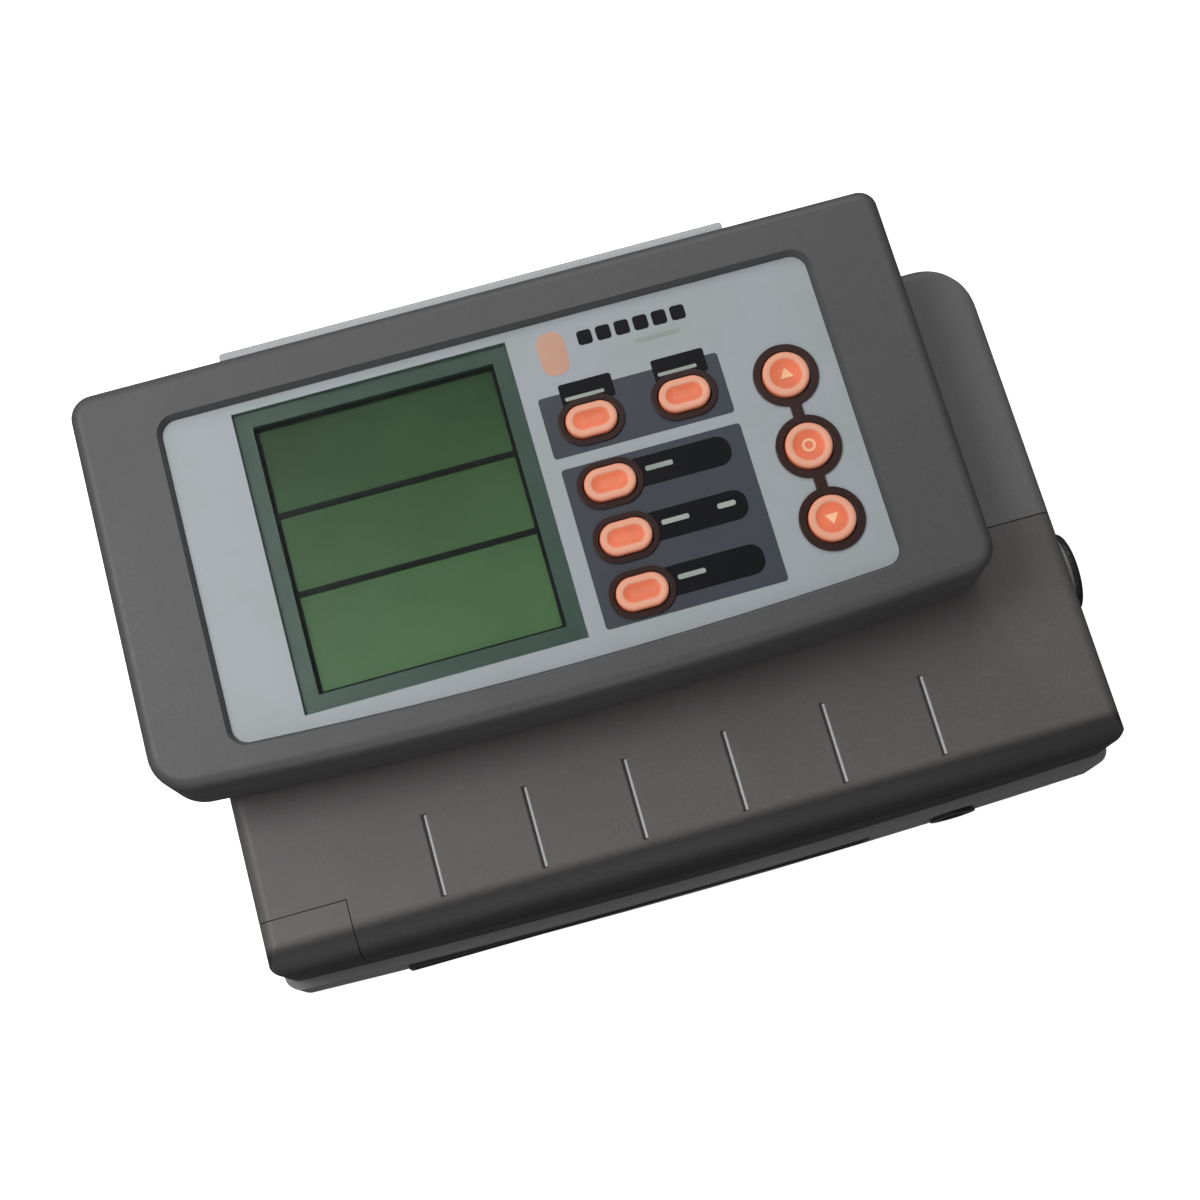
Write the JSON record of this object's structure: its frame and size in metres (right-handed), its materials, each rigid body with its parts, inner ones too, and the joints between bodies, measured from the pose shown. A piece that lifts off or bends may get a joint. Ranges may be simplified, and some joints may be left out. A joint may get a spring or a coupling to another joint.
{
  "type": "garden watering controller",
  "caption": "Flat watering controller: slim control unit with a green display and orange keys, plugged onto a wall base with a sliding terminal cover.",
  "frame": {"origin": "middle of the flat back's bounding box, on the plane of the back", "axes": "the object lies on its back: +Z out of the face, +Y to the top edge as it hangs on a wall, +X to the right of the display"},
  "size_m": [0.2026, 0.1355, 0.055],
  "materials": {
    "base_plastic": "fine moulded texture",
    "cover_plastic": "fine moulded texture",
    "unit_plastic": "satin moulded",
    "ledge_plastic": "satin moulded, light grey",
    "collar_plastic": "satin moulded, mid grey",
    "fascia_film": "silver-grey printed film, satin",
    "clear_lens": "clear window",
    "lcd_border": "dark border",
    "lcd_green": "green liquid crystal panel",
    "milky_acrylic": "milky light guide",
    "strip_rubber": "contact strip",
    "orange_key": "moulded silicone, satin",
    "key_frame": "brown-black",
    "board": "solder mask",
    "terminal_plastic": "green terminal housing",
    "chip_plastic": "moulded package",
    "relay_plastic": "moulded case",
    "can_sleeve": "shrink sleeve",
    "fuse_glass": "glass tube",
    "connector_plastic": "moulded connector",
    "gilt_brass": "gilt",
    "steel": "zinc-plated",
    "black_rubber": "moulded rubber"
  },
  "bodies": {
    "wall_base": {"base_back": "base_plastic", "base_front": "base_plastic", "base_screws": "steel", "base_pcb": "board", "base_pcb_screws": "steel", "valve_terminals": "terminal_plastic", "power_terminal": "terminal_plastic", "terminal_screws": "steel", "valve_triacs": "chip_plastic", "pump_relay": "relay_plastic", "capacitor": "can_sleeve", "rectifier": "chip_plastic", "fuse_holder": "chip_plastic", "fuse": "fuse_glass", "dock_header": "connector_plastic", "dock_pins": "gilt_brass", "power_grommet": "black_rubber", "sensor_socket": "collar_plastic"},
    "terminal_cover": {"terminal_cover": "cover_plastic", "corner_cap": "cover_plastic"},
    "sensor_cap": {"sensor_cap": "black_rubber"},
    "control_unit": {"front_shell": "unit_plastic", "rear_shell": "unit_plastic", "grip_ledge": "ledge_plastic", "fascia": "fascia_film", "display_window": "clear_lens", "lcd_frame": "lcd_border", "lcd_glass": "lcd_green", "backlight_guide": "milky_acrylic", "contact_strips": "strip_rubber", "round_key_frame": "key_frame", "oval_key_frames": "key_frame", "main_pcb": "board", "key_switches": "chip_plastic", "processor_chip": "chip_plastic", "clock_crystal": "steel", "sounder": "chip_plastic", "coin_cell": "steel", "battery_clip": "steel", "dock_socket": "connector_plastic", "unit_screws": "steel", "unit_pcb_screws": "steel"},
    "battery_door": {"battery_door": "unit_plastic"},
    "round_key_1": {"round_key_1": "orange_key"},
    "round_key_2": {"round_key_2": "orange_key"},
    "round_key_3": {"round_key_3": "orange_key"},
    "oval_key_1": {"oval_key_1": "orange_key"},
    "oval_key_2": {"oval_key_2": "orange_key"},
    "oval_key_3": {"oval_key_3": "orange_key"},
    "oval_key_4": {"oval_key_4": "orange_key"},
    "oval_key_5": {"oval_key_5": "orange_key"}
  },
  "joints": [
    {"name": "control_unit_lift", "type": "slide", "parent": "wall_base", "child": "control_unit", "axis": [0, 0, 1], "range_m": [0, 0.05]},
    {"name": "terminal_cover_slide", "type": "slide", "parent": "wall_base", "child": "terminal_cover", "axis": [0, -1, 0], "range_m": [0, 0.06]},
    {"name": "sensor_cap_pull", "type": "slide", "parent": "wall_base", "child": "sensor_cap", "axis": [1, 0, 0], "range_m": [0, 0.012]},
    {"name": "battery_door_slide", "type": "slide", "parent": "control_unit", "child": "battery_door", "axis": [0, 1, 0], "range_m": [0, 0.032]},
    {"name": "round_key_1_press", "type": "slide", "parent": "control_unit", "child": "round_key_1", "axis": [0, 0, -1], "range_m": [0, 0.001], "stiffness_N_per_m": 800},
    {"name": "round_key_2_press", "type": "slide", "parent": "control_unit", "child": "round_key_2", "axis": [0, 0, -1], "range_m": [0, 0.001], "stiffness_N_per_m": 800},
    {"name": "round_key_3_press", "type": "slide", "parent": "control_unit", "child": "round_key_3", "axis": [0, 0, -1], "range_m": [0, 0.001], "stiffness_N_per_m": 800},
    {"name": "oval_key_1_press", "type": "slide", "parent": "control_unit", "child": "oval_key_1", "axis": [0, 0, -1], "range_m": [0, 0.001], "stiffness_N_per_m": 800},
    {"name": "oval_key_2_press", "type": "slide", "parent": "control_unit", "child": "oval_key_2", "axis": [0, 0, -1], "range_m": [0, 0.001], "stiffness_N_per_m": 800},
    {"name": "oval_key_3_press", "type": "slide", "parent": "control_unit", "child": "oval_key_3", "axis": [0, 0, -1], "range_m": [0, 0.001], "stiffness_N_per_m": 800},
    {"name": "oval_key_4_press", "type": "slide", "parent": "control_unit", "child": "oval_key_4", "axis": [0, 0, -1], "range_m": [0, 0.001], "stiffness_N_per_m": 800},
    {"name": "oval_key_5_press", "type": "slide", "parent": "control_unit", "child": "oval_key_5", "axis": [0, 0, -1], "range_m": [0, 0.001], "stiffness_N_per_m": 800}
  ]
}
